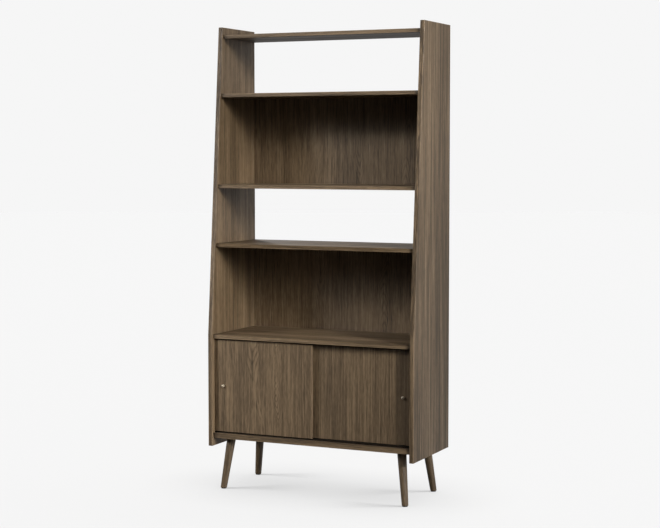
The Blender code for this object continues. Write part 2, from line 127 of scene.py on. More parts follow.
def ramp(tree, factor, stops):
    """A colour ramp from (position, colour) stops; a colour may be a single grey value."""
    node = add(tree, "ValToRGB", factor)
    elements = node.color_ramp.elements
    while len(elements) < len(stops):
        elements.new(0.5)
    for element, (position, colour) in zip(elements, stops):
        element.position = position
        rgb = (colour,) * 3 if isinstance(colour, float) else colour
        element.color = (*rgb, 1.0)
    return node.outputs["Color"]


def new_finish(name):
    """An empty material with its Principled shader."""
    finish = bpy.data.materials.new(name)
    finish.use_nodes = True
    shader = finish.node_tree.nodes["Principled BSDF"]
    return finish, finish.node_tree, shader


def raise_surface(tree, shader, height, strength, depth):
    """A fine relief for a shader, from a height between nought and about one."""
    bump = add(tree, "Bump")
    bump.inputs["Strength"].default_value = strength
    bump.inputs["Distance"].default_value = depth
    tree.links.new(height, bump.inputs["Height"])
    tree.links.new(bump.outputs["Normal"], shader.inputs["Normal"])


# %% [markdown]
# ## Soft boxes
# Product light has to shape a dark case against a white room. Soft boxes stand at the front left and the front
# right, each with a grid that narrows its beam: the low boxes fill the doors and the lower bays, the high ones
# the upper bays and the right side. Every beam comes down at an angle, so each shelf throws a long shadow on the
# back below it. The low boxes are tall, and those on the left also wide, which keeps the shadows over the doors
# soft. One more box behind the case keeps its back from going black.

# %% Soft boxes
BOX_AWAY = 4.2
BOX_PIVOT = Vector((0.0, 0.0, 0.95))      # the boxes stand round the middle of the case
AIM_DEPTH = -0.1
GRID_SPREAD = 32.0
SOFT_BOXES = (
    # name, bearing from the front, rise, aim across, aim height, power, width, height
    ("right_low_box", 61.0, 14.5, -0.4, 0.4, 8.15, 0.5, 1.8),
    ("right_high_box", 61.0, 29.0, 0.4, 1.8, 3.54, 0.5, 0.7),
    ("front_high_box", 30.0, 35.0, 0.4, 1.7, 1.18, 0.5, 0.7),
    ("left_low_box", -49.0, 18.5, -0.8, 0.3, 3.43, 1.2, 1.8),
    ("left_middle_box", -47.0, 18.5, -0.4, 0.6, 4.22, 1.2, 1.8),
    ("left_high_box", -49.0, 29.0, 0.4, 1.9, 2.30, 0.5, 0.7),
    ("rear_box", -135.0, 14.0, 0.0, 0.95, 4.50, 0.5, 0.7),
)


def outwards(bearing, rise):
    """A unit vector away from the case: a bearing from the front and a rise, in degrees."""
    turn, lift = math.radians(bearing), math.radians(rise)
    return Vector((math.sin(turn) * math.cos(lift), -math.cos(turn) * math.cos(lift), math.sin(lift)))


for name, bearing, rise, aim_across, aim_height, power, width, height in SOFT_BOXES:
    light = bpy.data.lights.new(name, "AREA")
    light.shape = "RECTANGLE"
    light.size, light.size_y = width, height
    light.spread = math.radians(GRID_SPREAD)
    light.energy = power
    lamp = bpy.data.objects.new(name, light)
    lamp.location = BOX_PIVOT + outwards(bearing, rise) * BOX_AWAY
    beam = Vector((aim_across, AIM_DEPTH, aim_height)) - lamp.location
    lamp.rotation_euler = beam.to_track_quat("-Z", "Y").to_euler()
    lamp.visible_camera = False
    scene.collection.objects.link(lamp)
print(len(SOFT_BOXES), "soft boxes")

# %% [markdown]
# ## The white room
# The room is bright on the right and behind the case and almost dark in front of it, which keeps the closed
# bays nearly black under their shelves. The camera itself sees an even white.

# %% Room
BACKGROUND = 0.921
ROOM = (
    # direction, where the glow starts and is full, its strength
    ("X", 0.3, 0.8, 0.55),
    ("X", -0.3, -0.8, 0.14),
    ("Y", 0.1, 0.6, 0.47),
    ("Y", -0.1, -0.6, 0.012),
    ("Z", 0.4, 0.9, 0.14),
)

scene.view_settings.view_transform = "Standard"
scene.view_settings.look = "None"
world = bpy.data.worlds.new("white_studio")
scene.world = world
world.use_nodes = True
sky = world.node_tree
sky.nodes.clear()
direction = add(sky, "SeparateXYZ", add(sky, "TexCoord").outputs["Generated"])
strength = None
for axis, start, full, glow in ROOM:
    if full > start:
        wall = eased(sky, direction.outputs[axis], start, full, 0.0, glow)
    else:
        wall = eased(sky, direction.outputs[axis], full, start, glow, 0.0)
    strength = wall if strength is None else math_node(sky, "ADD", strength, wall)
lit_room = add(sky, "Background", None, strength)
plain_room = add(sky, "Background", (BACKGROUND, BACKGROUND, BACKGROUND, 1.0), 1.0)
seen = add(sky, "LightPath").outputs["Is Camera Ray"]
surroundings = add(sky, "MixShader", seen, lit_room.outputs[0], plain_room.outputs[0])
add(sky, "OutputWorld", surroundings.outputs[0])
print("room with", len(ROOM), "glowing walls")

# %% [markdown]
# ## The floor
# A wide disc that glows like the room, so it has no far edge. Close under the case the floor sees less of the
# room, and the ambient occlusion node turns that into the soft grey that makes the case stand on something. The
# floor sends no light back up: in the picture the undersides stay dark. A share of it is matt paper, which waits
# for the shadows of the legs.

# %% Floor
FLOOR_RADIUS = 30.0
SHADE_DEPTH = 0.26
SHADE_REACH = 0.38
PAPER = 0.30
PAPER_LIT = 0.4705        # what the paper gives back where no leg shades it

floor_mesh = bpy.data.meshes.new("studio_floor")
disc = bmesh.new()
bmesh.ops.create_circle(disc, cap_ends=True, segments=64, radius=FLOOR_RADIUS)
disc.to_mesh(floor_mesh)
disc.free()
floor = bpy.data.objects.new("studio_floor", floor_mesh)
floor.visible_diffuse = False
floor.visible_glossy = False
scene.collection.objects.link(floor)
paper, paper_tree, paper_shader = new_finish("studio_paper")
open_sky = add(paper_tree, "AmbientOcclusion", None, SHADE_REACH).outputs["AO"]
glow_level = math_node(paper_tree, "MULTIPLY_ADD", open_sky, BACKGROUND * SHADE_DEPTH,
                       BACKGROUND * (1.0 - SHADE_DEPTH) - PAPER_LIT)
matt = add(paper_tree, "BsdfDiffuse", (PAPER, PAPER, PAPER, 1.0))
glow = add(paper_tree, "Emission", None, glow_level)
paper_sum = add(paper_tree, "AddShader", matt.outputs[0], glow.outputs[0])
paper_tree.links.new(paper_sum.outputs[0], paper_tree.nodes["Material Output"].inputs["Surface"])
paper_tree.nodes.remove(paper_shader)
floor_mesh.materials.append(paper)

floor_only = bpy.data.collections.new("floor_only")
floor_only.objects.link(floor)
floor_left_out = bpy.data.collections.new("floor_left_out")
floor_left_out.objects.link(floor)
floor_left_out.collection_objects[0].light_linking.link_state = "EXCLUDE"
for name, *_ in SOFT_BOXES:
    bpy.data.objects[name].light_linking.receiver_collection = floor_left_out
print("floor radius", FLOOR_RADIUS, "m, kept out of", len(SOFT_BOXES), "soft boxes")

# %% [markdown]
# ## Grain
# Veneer is a thin slice of a log. Away from the heart the year rings run as straight streaks of many widths,
# so the base is a stack of noises drawn out along the grain, from broad stains down to single fibres. A noise
# folded at its middle gives the thin dark lines between the streaks.

# %% Grain
SHEET_AXES = {
    "upright_front": ("X", "Y", "Z"),     # across the grain, through the sheet, along the grain
    "upright_side": ("Y", "X", "Z"),
    "level": ("Y", "Z", "X"),
}
STREAKS = (
    # how many per metre across and along, detail, weight
    (11.0, 0.5, 1.0, 0.42),
    (38.0, 1.4, 1.0, 0.48),
    (105.0, 3.2, 1.0, 0.62),
    (230.0, 7.0, 1.0, 0.72),
    (520.0, 16.0, 0.0, 0.35),
)
FLECKS = (270.0, 38.0, 1.0, 0.55)         # the same four values
LINES = (62.0, 1.6, 0.10, 0.16)           # per metre across and along, breadth, depth
MIDDLE_SHADE = 0.55
NOISE_ROUGHNESS = 0.55


def stretched_noise(tree, place, across, along, detail, seed):
    """Noise drawn out along the grain: frequencies per metre across and along it."""
    scaled = add(tree, "VectorMath", place, (across, across, along), operation="MULTIPLY").outputs[0]
    moved = add(tree, "VectorMath", scaled, (seed, seed * 1.7, seed * 2.3), operation="ADD").outputs[0]
    node = add(tree, "TexNoise", moved, noise_dimensions="3D")
    node.inputs["Scale"].default_value = 1.0
    node.inputs["Detail"].default_value = detail
    node.inputs["Roughness"].default_value = NOISE_ROUGHNESS
    return node.outputs["Fac"]


def straight_grain(tree, place, seed, width, length, broad, stain):
    """Streaks and dark lines, as a shade round its middle, and the finest streaks by themselves."""
    weights = [row[3] * share for row, share in zip(STREAKS, (stain, broad, broad, 1.0, 1.0))]
    wide, long, detail, weight = FLECKS
    flecks = stretched_noise(tree, place, wide, long, detail, seed + 9.7)
    shade = math_node(tree, "MULTIPLY_ADD", flecks, weight, MIDDLE_SHADE - 0.5 * (weight + sum(weights)))
    for number, (wide, long, detail, _) in enumerate(STREAKS):
        fibre = stretched_noise(tree, place, wide / width, long / length, detail, seed + 1.7 * number)
        shade = math_node(tree, "MULTIPLY_ADD", fibre, weights[number], shade)
    wide, long, breadth, depth = LINES
    band = stretched_noise(tree, place, wide / width, long / length, 2.0, seed + 12.3)
    folded = math_node(tree, "ABSOLUTE", math_node(tree, "SUBTRACT", band, 0.5))
    line = eased(tree, folded, 0.0, breadth, depth * broad, 0.0)
    return math_node(tree, "SUBTRACT", shade, line), fibre


# %% [markdown]
# ## Arches
# A log tapers, so a slice beside its heart cuts the year rings as nested arches with long legs. A painted pattern
# would miss how they nest, so a sheet may name its hearts: the distance to the heart, less the taper, gives rings
# that narrow to a waist and open again. They wander, ripple and show in some places more than in others.

# %% Arches
SWAY = 0.070              # how far the rings wander aside
RIPPLE = 0.9              # their waver, in ring gaps
WAIST_HALF = 0.04         # half the height over which a waist is rounded
RING_STOPS = ((0.0, 0.50), (0.45, 0.78), (0.80, 0.08), (1.0, 0.50))
RING_MIDDLE = 0.46


def heart_rings(tree, place, across, along, hearts, seed):
    """Year rings round some hearts, as a shade round nought. A heart is its place across, the height of its waist,
    how far the cut misses it, the taper, the ring gap and how far aside the rings show."""
    sway = stretched_noise(tree, place, 2.5, 3.5, 1.0, seed + 3.1)
    ripple = stretched_noise(tree, place, 60.0, 18.0, 2.0, seed + 4.7)
    bend = math_node(tree, "MULTIPLY_ADD", sway, SWAY, -SWAY / 2)
    patches = stretched_noise(tree, place, 18.0, 7.0, 1.0, seed + 5.3)
    clear = eased(tree, patches, 0.36, 0.56, 0.20, 1.0)
    total = None
    for beside, waist, miss, taper, gap, half in hearts:
        aside = math_node(tree, "ADD", math_node(tree, "SUBTRACT", across, beside), bend)
        reach = math_node(tree, "SQRT", math_node(tree, "MULTIPLY_ADD", aside, aside, miss * miss))
        above = math_node(tree, "SUBTRACT", along, waist)
        climb = math_node(tree, "SQRT", math_node(tree, "MULTIPLY_ADD", above, above, WAIST_HALF ** 2))
        level = math_node(tree, "MULTIPLY_ADD", climb, -taper, reach)
        level = math_node(tree, "MULTIPLY_ADD", ripple, RIPPLE * gap, level)
        ring = ramp(tree, math_node(tree, "FRACT", math_node(tree, "DIVIDE", level, gap)), RING_STOPS)
        column = eased(tree, math_node(tree, "ABSOLUTE", aside), 0.3 * half, half, 1.0, 0.0)
        arch = math_node(tree, "MULTIPLY", math_node(tree, "SUBTRACT", ring, RING_MIDDLE), column)
        total = arch if total is None else math_node(tree, "ADD", total, arch)
    return math_node(tree, "MULTIPLY", total, clear)


# %% [markdown]
# ## Painted arris highlights
# The eased arrises of a board catch the light, so a painted highlight makes them a touch paler than its faces, with
# gaps from a noise. On a face one of the three distances to the board's sides is nought, so the middle one of the
# three, sorted by size, tells how far the nearest arris is. The front of a side panel leans back above the cabinet,
# and its distance follows.

# %% Painted arris highlights
PANEL_KINK, PANEL_LEAN = 0.634, 0.1 / 1.246
ARRIS_FULL, ARRIS_END = 0.0008, 0.0030    # from an arris: where the painted highlight is full, and where it ends
HIGHLIGHT_PATCHES = 14.0


def painted_arris_highlight(tree, spot, board):
    """A painted highlight: one on the arrises of a board, nought a few millimetres away, with gaps from a noise."""
    low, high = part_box(board)
    insets = []
    for number, axis in enumerate("XYZ"):
        value = spot.outputs[axis]
        from_low = math_node(tree, "SUBTRACT", value, low[number])
        if axis == "Y" and board.endswith("side_panel"):
            over = math_node(tree, "MAXIMUM", math_node(tree, "SUBTRACT", spot.outputs["Z"], PANEL_KINK), 0.0)
            from_low = math_node(tree, "SUBTRACT", from_low, math_node(tree, "MULTIPLY", over, PANEL_LEAN))
        insets.append(math_node(tree, "MINIMUM", from_low, math_node(tree, "SUBTRACT", high[number], value)))
    one, two, three = insets
    smaller = math_node(tree, "MINIMUM", one, two)
    larger = math_node(tree, "MINIMUM", math_node(tree, "MAXIMUM", one, two), three)
    middle = math_node(tree, "MAXIMUM", smaller, larger)
    near = eased(tree, middle, ARRIS_FULL, ARRIS_END, 1.0, 0.0)
    patchy = add(tree, "TexNoise", add(tree, "TexCoord").outputs["Object"])
    patchy.inputs["Scale"].default_value = HIGHLIGHT_PATCHES
    patchy.inputs["Detail"].default_value = 2.0
    kept = eased(tree, patchy.outputs["Fac"], 0.3, 0.6, 0.35, 1.0)
    return math_node(tree, "MULTIPLY", near, kept)


# %% [markdown]
# ## Walnut veneer
# The shade of the grain picks the wood's colour from dark to pale. Short dark pores go over it. Faces that look
# forward are made a little paler on the shelves and a little darker on the left side, and a painted shade darkens
# the ends of the shelves where they meet the sides. The same shade drives the gloss, and the finest streaks and the
# pores a relief of a fraction of a millimetre.

# %% Veneer
WALNUT = (0.1237, 0.0830, 0.0457)
WALNUT_STOPS = (
    # shade, darkness, and how red and how blue it is beside the middle one
    (0.06, 0.40, 1.06, 0.90),
    (0.32, 0.73, 1.02, 0.97),
    (0.54, 1.06, 1.00, 1.00),
    (0.78, 1.48, 0.98, 1.03),
    (0.96, 1.80, 0.97, 1.06),
)
PAINTED_END_FROM, PAINTED_END_FULL, PAINTED_END_SHADE = 0.406, 0.429, 0.50    # from the middle: where the painted end shade starts and is full; its depth
# how much the painted arris highlight lightens the shade of the wood
ARRIS_HIGHLIGHT = 0.20
EDGE_FULL, EDGE_END = -0.9, -0.6          # how far a face has to look forward to be a front edge
PORES = (430.0, 13.0, 1.0)                # per metre across and along, detail
PORE_STOPS = ((0.26, 0.45), (0.43, 1.0))
PORE_RELIEF = 0.6
GLOSS = (0.2, 0.8, 0.53, 0.44)            # the shades at both ends, and the roughness there
GRAIN_BUMP, GRAIN_DEPTH = 0.25, 0.0002


def veneer(name, sheet, seed, board=None, hearts=(), figure=0.40, width=1.0, length=1.0,
           broad=1.0, stain=1.0, edge=0.0, tone=1.0, specular=0.42, place=None):
    """Walnut veneer with its own seed. Width and length stretch the streaks, broad and stain weigh the wider ones,
    edge shades the front edge, and tone and specular set the whole sheet. A board gets a painted highlight on its
    arrises."""
    finish, tree, shader = new_finish(name)
    if place is None:
        spot = add(tree, "SeparateXYZ", add(tree, "TexCoord").outputs["Object"])
        across, through, along = (spot.outputs[axis] for axis in SHEET_AXES[sheet])
        place = add(tree, "CombineXYZ", across, through, along).outputs[0]
    else:
        place = add(tree, "Attribute", attribute_name=place).outputs["Vector"]
        across, _, along = add(tree, "SeparateXYZ", place).outputs

    shade, fibre = straight_grain(tree, place, seed, width, length, broad, stain)
    if hearts:
        rings = heart_rings(tree, place, across, along, hearts, seed)
        shade = math_node(tree, "MULTIPLY_ADD", rings, figure, shade)
    # painted highlight: the arrises of a board are made paler in its colour
    if board:
        shade = math_node(tree, "MULTIPLY_ADD", painted_arris_highlight(tree, spot, board), ARRIS_HIGHLIGHT, shade)
    if edge:
        facing = add(tree, "SeparateXYZ", add(tree, "NewGeometry").outputs["True Normal"]).outputs["Y"]
        shade = math_node(tree, "ADD", shade, eased(tree, facing, EDGE_FULL, EDGE_END, edge, 0.0))
    # painted shade: the ends of the level boards, where they meet the sides, are darkened in the colour
    if sheet == "level":
        aside = math_node(tree, "ABSOLUTE", along)
        painted_ends = eased(tree, aside, PAINTED_END_FROM, PAINTED_END_FULL, 0.0, PAINTED_END_SHADE)
        shade = math_node(tree, "SUBTRACT", shade, painted_ends)
    red, green, blue = (tone * part for part in WALNUT)
    wood = ramp(tree, shade, [(at, (dark * warm * red, dark * green, dark * cool * blue))
                              for at, dark, warm, cool in WALNUT_STOPS])

    pores = stretched_noise(tree, place, *PORES, seed + 8.9)
    pore_dark = ramp(tree, pores, PORE_STOPS)
    colour = add(tree, "Mix", data_type="RGBA", blend_type="MULTIPLY")
    colour.inputs["Factor"].default_value = 1.0
    tree.links.new(wood, colour.inputs["A"])
    tree.links.new(pore_dark, colour.inputs["B"])
    tree.links.new(colour.outputs["Result"], shader.inputs["Base Color"])

    gloss = add(tree, "MapRange", shade, *GLOSS)
    tree.links.new(gloss.outputs[0], shader.inputs["Roughness"])
    shader.inputs["Specular IOR Level"].default_value = specular
    relief = math_node(tree, "MULTIPLY_ADD", pore_dark, PORE_RELIEF, fibre)
    raise_surface(tree, shader, relief, GRAIN_BUMP, GRAIN_DEPTH)
    return finish


def dress(node, finish):
    """Gives a solid its finish."""
    mesh = nodes[node].data
    mesh.materials.clear()
    mesh.materials.append(finish)


# %% [markdown]
# ## Boards
# Upright pieces carry upright grain and shelves carry grain from side to side, as a maker lays them out. The
# left door shows two columns of arches and the backs a few, so their hearts lie just under the sheet. The right
# door and the sides are cut far from the heart and stay straight, the sides with the longest streaks.

# %% Boards
LEVEL = dict(sheet="level", length=1.5, broad=1.5, stain=3.6, width=0.6, edge=0.22)
BOARD_SHEETS = {
    "left_side_panel": dict(sheet="upright_side", seed=2.0, width=1.2, length=2.0, broad=1.1, stain=2.1,
                            edge=-0.15, tone=1.18),
    "right_side_panel": dict(sheet="upright_side", seed=11.0, width=0.9, length=2.0, broad=2.4, stain=0.6,
                             tone=1.05),
    "left_door": dict(sheet="upright_front", seed=29.2, figure=0.60, tone=1.10,
                      hearts=((-0.250, 0.415, 0.018, 0.22, 0.0110, 0.055),
                              (-0.143, 0.10, 0.006, 0.25, 0.0060, 0.018))),
    "right_door": dict(sheet="upright_front", seed=31.0, length=1.6, broad=1.1, tone=0.955),
    "upper_back_panel": dict(sheet="upright_front", seed=43.0, figure=0.50,
                             hearts=((0.06, 1.10, 0.008, 0.20, 0.0080, 0.030),
                                     (0.27, 1.75, 0.010, 0.20, 0.0080, 0.035))),
    "lower_back_panel": dict(sheet="upright_front", seed=51.0, figure=0.50, broad=0.85, tone=1.19,
                             hearts=((-0.12, 0.72, 0.010, 0.20, 0.0080, 0.035),
                                     (0.17, 1.10, 0.008, 0.20, 0.0080, 0.030))),
    "top_shelf": dict(LEVEL, seed=60.0),
    "upper_shelf": dict(LEVEL, seed=67.0),
    "middle_shelf": dict(LEVEL, seed=74.0),
    "lower_shelf": dict(LEVEL, seed=81.0, tone=0.96, specular=0.15),
    "cabinet_top": dict(LEVEL, seed=88.0, tone=1.12),
    "cabinet_bottom": dict(LEVEL, seed=95.0),
}
for board, sheet in BOARD_SHEETS.items():
    dress(board, veneer(board + "_walnut", board=board, **sheet))
print("veneered", len(BOARD_SHEETS), "boards")

# %% [markdown]
# ## Plain fittings
# Tracks, glides and pads are moulded plastic, the plates and screws are zinc plated, the knobs are satin brass.
# Each has a little cloud in its colour and gloss, because no real part is perfectly even.

# %% Fittings
CLOUD_DARK, CLOUD_PALE = 0.85, 1.12
CLOUD_LOW, CLOUD_HIGH = 0.3, 0.7
CLOUD_GLOSS = 0.05
CLOUD_BUMP = 0.2


def clouded(name, colour, roughness, metallic, grain, depth, specular=0.5):
    """A plain finish with fine clouds in its colour and gloss, and a faint surface."""
    finish, tree, shader = new_finish(name)
    place = add(tree, "TexCoord").outputs["Object"]
    cloud = add(tree, "TexNoise", place)
    cloud.inputs["Scale"].default_value = grain
    cloud.inputs["Detail"].default_value = 3.0
    dark, pale = ([share * part for part in colour] for share in (CLOUD_DARK, CLOUD_PALE))
    shade = ramp(tree, cloud.outputs["Fac"], ((CLOUD_LOW, dark), (CLOUD_HIGH, pale)))
    tree.links.new(shade, shader.inputs["Base Color"])
    gloss = add(tree, "MapRange", cloud.outputs["Fac"], CLOUD_LOW, CLOUD_HIGH,
                roughness - CLOUD_GLOSS, roughness + CLOUD_GLOSS)
    tree.links.new(gloss.outputs[0], shader.inputs["Roughness"])
    shader.inputs["Metallic"].default_value = metallic
    shader.inputs["Specular IOR Level"].default_value = specular
    raise_surface(tree, shader, cloud.outputs["Fac"], CLOUD_BUMP, depth)
    return finish


brass = clouded("turned_brass", (0.70, 0.60, 0.46), 0.30, 1.0, 900.0, 0.00002)
zinc = clouded("zinc_plate", (0.45, 0.45, 0.46), 0.38, 1.0, 700.0, 0.00005)
track_plastic = clouded("track_plastic", (0.010, 0.007, 0.004), 0.60, 0.0, 500.0, 0.0001, specular=0.10)
black_nylon = clouded("moulded_nylon", (0.022, 0.021, 0.020), 0.48, 0.0, 600.0, 0.0001)
for name in nodes:
    if "_screw" in name or name.endswith(("_plate", "_bolt")):
        dress(name, zinc)
    elif name.endswith("_track"):
        dress(name, track_plastic)
    elif name.endswith(("_glide", "_guide", "_pad")):
        dress(name, black_nylon)
print("brass, zinc, plastic and nylon finishes")

# %% [markdown]
# ## A helper for turned pieces
# Legs and knobs come off a lathe, so each is a profile carried round an axis. Rings of points joined by faces
# give full control: the axis may lean, as the legs do, and every ring stays level. A piece that takes over from
# a solid then rides on the same body and hides the solid.

# %% Turned pieces
SHARP_ANGLE = 40.0


def turned(name, profile, sides, place):
    """A closed turned mesh from (radius, height) points, from one end of the axis to the other."""
    work = bmesh.new()
    rings = []
    for radius, height in profile:
        if radius == 0.0:
            rings.append([work.verts.new(place(0.0, 0.0, height))])
            continue
        turns = [math.tau * number / sides for number in range(sides)]
        points = [place(radius * math.cos(turn), radius * math.sin(turn), height) for turn in turns]
        rings.append([work.verts.new(point) for point in points])
    for lower, upper in zip(rings, rings[1:]):
        for number in range(sides):
            after = (number + 1) % sides
            corners = [lower[number % len(lower)], lower[after % len(lower)],
                       upper[after % len(upper)], upper[number % len(upper)]]
            work.faces.new(list(dict.fromkeys(corners)))
    bmesh.ops.recalc_face_normals(work, faces=work.faces)
    mesh = bpy.data.meshes.new(name)
    work.to_mesh(mesh)
    work.free()
    mesh.shade_smooth()
    mesh.set_sharp_from_angle(angle=math.radians(SHARP_ANGLE))
    piece = bpy.data.objects.new(name, mesh)
    scene.collection.objects.link(piece)
    return piece


def stand_for(piece, body, slot, finish, *solids):
    """Lets a piece take over from solids: it wears the finish, rides on their body and hides the solids. The slot is
    not used.
    """
    piece.data.materials.clear()
    piece.data.materials.append(finish)
    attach(piece, body)
    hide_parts(*solids)


# %% [markdown]
# ## Legs
# Each leg is turned to a slim taper and stands splayed to its corner. Its grain runs along the leaning axis and
# not straight up, so every point also keeps where it was in the upright billet, and the veneer reads that place
# in place of the usual one.

# %% Legs
LEG_SPLAY = 0.12
LEG_TOP, LEG_FOOT = 0.0183, 0.0131
LEG_ENDS = (0.0048, 0.2069)
LEG_SIDES = 64
LEG_PROFILE = [(0.0, LEG_ENDS[1]), (LEG_TOP - 0.0006, LEG_ENDS[1]), (LEG_TOP - 0.0002, 0.2067)]
for height in (0.2060, 0.1590, 0.1060, 0.0540, 0.0062):
    share = (height - LEG_ENDS[0]) / (LEG_ENDS[1] - LEG_ENDS[0])
    LEG_PROFILE.append((LEG_FOOT + share * (LEG_TOP - LEG_FOOT), height))
LEG_PROFILE += [(LEG_FOOT - 0.0001, 0.0050), (LEG_FOOT - 0.0005, 0.0040), (LEG_FOOT - 0.0015, 0.0033),
                (0.0, 0.0033)]
BILLETS_APART = (0.4, 0.7)                # keeps the figure of one leg from coming back in the next
leg_walnut = veneer("leg_walnut", "upright_front", 77.0, tone=0.95, place="billet")


def leaning(foot, side, end):
    """How a point beside the upright axis moves to the leaning one, which starts over a foot."""
    def place(x, y, height):
        return foot.x + x - side * LEG_SPLAY * height, foot.y + y - end * LEG_SPLAY * height, height
    return place


for end_name, end in (("front", -1), ("rear", 1)):
    for side_name, side in (("left", -1), ("right", 1)):
        solid = f"{end_name}_{side_name}_leg"
        foot = sum(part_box(solid + "_pad"), Vector()) / 2
        foot += Vector((side, end, 0.0)) * LEG_SPLAY * foot.z
        place = leaning(foot, side, end)
        leg = turned(f"{end_name}_{side_name}_turned_leg", LEG_PROFILE, LEG_SIDES, place)
        billet = leg.data.attributes.new("billet", "FLOAT_VECTOR", "POINT")
        for point, kept in zip(leg.data.vertices, billet.data):
            axis = Vector(place(0.0, 0.0, point.co.z))
            kept.vector = point.co - axis + Vector((BILLETS_APART[0] * side, BILLETS_APART[1] * end, axis.z))
        stand_for(leg, "case", "leg_wood", leg_walnut, solid)
        print(leg.name, len(leg.data.polygons), "faces")

# %% [markdown]
# ## Leg shadows
# Each foot throws a short soft streak inwards, under the case. Two wide suns that light the floor alone draw them:
# light linking keeps their light off the furniture, and shadow linking lets only the legs of one side stand in
# each of them, so that the rest of the floor stays even.

# %% Leg shadows
STREAK_SUNS = (("left", -65.0), ("right", 115.0))
STREAK_RISE = 42.0
STREAK_POWER = 3.1
STREAK_ANGLE = 26.0

for side_name, bearing in STREAK_SUNS:
    sun_data = bpy.data.lights.new(side_name + "_streak_sun", "SUN")
    sun_data.energy = STREAK_POWER
    sun_data.angle = math.radians(STREAK_ANGLE)
    sun = bpy.data.objects.new(side_name + "_streak_sun", sun_data)
    sun.rotation_euler = outwards(bearing, STREAK_RISE).to_track_quat("Z", "Y").to_euler()
    scene.collection.objects.link(sun)
    standing = bpy.data.collections.new(side_name + "_standing")
    for end_name in ("front", "rear"):
        standing.objects.link(bpy.data.objects[f"{end_name}_{side_name}_turned_leg"])
        standing.objects.link(nodes[f"{end_name}_{side_name}_leg_pad"])
    sun.light_linking.receiver_collection = floor_only
    sun.light_linking.blocker_collection = standing
    print(sun.name, "blocked by", len(standing.objects), "pieces")

# %% [markdown]
# ## Knobs
# The knobs are small turned brass buttons: a foot on the door, a waisted neck and a domed head. The dome mirrors
# the soft boxes on both sides as two small bright spots, so its curve is drawn with many rings.

# %% Knobs
KNOB_OUT = 0.0115
KNOB_SIDES = 48
DOME_RADIUS, DOME_EDGE, DOME_STEPS = 0.00786, 54.0, 14
KNOB_PROFILE = [(0.0, 0.0), (0.0049, 0.0), (0.0052, 0.0003), (0.0052, 0.0010), (0.0048, 0.0014), (0.0037, 0.0016),
                (0.0034, 0.0021), (0.0034, 0.0034), (0.0036, 0.0043), (0.0043, 0.0054), (0.0053, 0.0065),
                (0.0060, 0.0071), (0.0063, 0.0075), (0.0064, 0.0079)]
for step in range(DOME_STEPS + 1):
    tilt = math.radians(DOME_EDGE * (1.0 - step / DOME_STEPS))
    KNOB_PROFILE.append((DOME_RADIUS * math.sin(tilt), KNOB_OUT - DOME_RADIUS * (1.0 - math.cos(tilt))))

for side_name in ("left", "right"):
    low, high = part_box(side_name + "_knob")
    middle = (low + high) / 2
    knob = turned(side_name + "_turned_knob", KNOB_PROFILE, KNOB_SIDES,
                  lambda x, y, out: (middle.x + x, low.y + KNOB_OUT - out, middle.z + y))
    stand_for(knob, side_name + "_door_body", "satin_brass", brass, side_name + "_knob")
    print(knob.name, len(knob.data.polygons), "faces")

# %% [markdown]
# ## Backs
# The thin backs sit in rabbets and are held by rows of small screws from behind. The solids leave the screws out
# and keep the backs flush with the sides, so here each back stays a millimetre inside its rabbet, which leaves
# room for the screw heads.

# %% Backs
BACK_RECESS = 0.001
BACK_EASE = 0.0004


def eased_board(name, low, high, ease):
    """A board between two corners with small rounded arrises."""
    work = bmesh.new()
    bmesh.ops.create_cube(work, size=1.0)
    for point in work.verts:
        point.co = Vector([l + (0.5 + c) * (h - l) for c, l, h in zip(point.co, low, high)])
    bmesh.ops.bevel(work, geom=list(work.edges), offset=ease, segments=2, profile=0.5, affect="EDGES")
    bmesh.ops.recalc_face_normals(work, faces=work.faces)
    mesh = bpy.data.meshes.new(name)
    work.to_mesh(mesh)
    work.free()
    board = bpy.data.objects.new(name, mesh)
    scene.collection.objects.link(board)
    return board


for name in ("upper_back_panel", "lower_back_panel"):
    low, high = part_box(name)
    back = eased_board(name.replace("panel", "sheet"), low, high - Vector((0.0, BACK_RECESS, 0.0)), BACK_EASE)
    stand_for(back, "case", "back_veneer", bpy.data.materials[name + "_walnut"], name)
    print(back.name, len(back.data.polygons), "faces")

# %% [markdown]
# ## Screws
# Every screw has the same make: a head, a shank and a cross in the head, only the sizes differ. That is work for
# Geometry Nodes: one tree builds the screw from its named sizes, puts one on each point, and gives each its own
# chance turn, because nobody lines up the crosses.


# %% Screw tree
def grow(kind, inputs, **settings):
    """Adds a node to the screw tree, with its options and its inputs by name. A list goes into one socket."""
    made = screw_tree.nodes.new(kind)
    for name, value in settings.items():
        setattr(made, name, value)
    for name, value in inputs.items():
        for item in value if isinstance(value, list) else [value]:
            if isinstance(item, bpy.types.NodeSocket):
                screw_tree.links.new(item, made.inputs[name])
            else:
                made.inputs[name].default_value = item
    return made.outputs[0]


SCREW_SIZES = ("Face Radius", "Base Radius", "Head Height", "Shank Radius", "Shank Length", "Cross Length",
               "Cross Width", "Cut Height")
HEAD_SIDES, SHANK_SIDES = 28, 16
screw_tree = bpy.data.node_groups.new("cross_screws", "GeometryNodeTree")
for label, kind in (("Places", "Geometry"), *((label, "Float") for label in SCREW_SIZES), ("Facing", "Vector")):
    screw_tree.interface.new_socket(label, in_out="INPUT", socket_type="NodeSocket" + kind)
screw_tree.interface.new_socket("Screws", in_out="OUTPUT", socket_type="NodeSocketGeometry")
given = screw_tree.nodes.new("NodeGroupInput").outputs

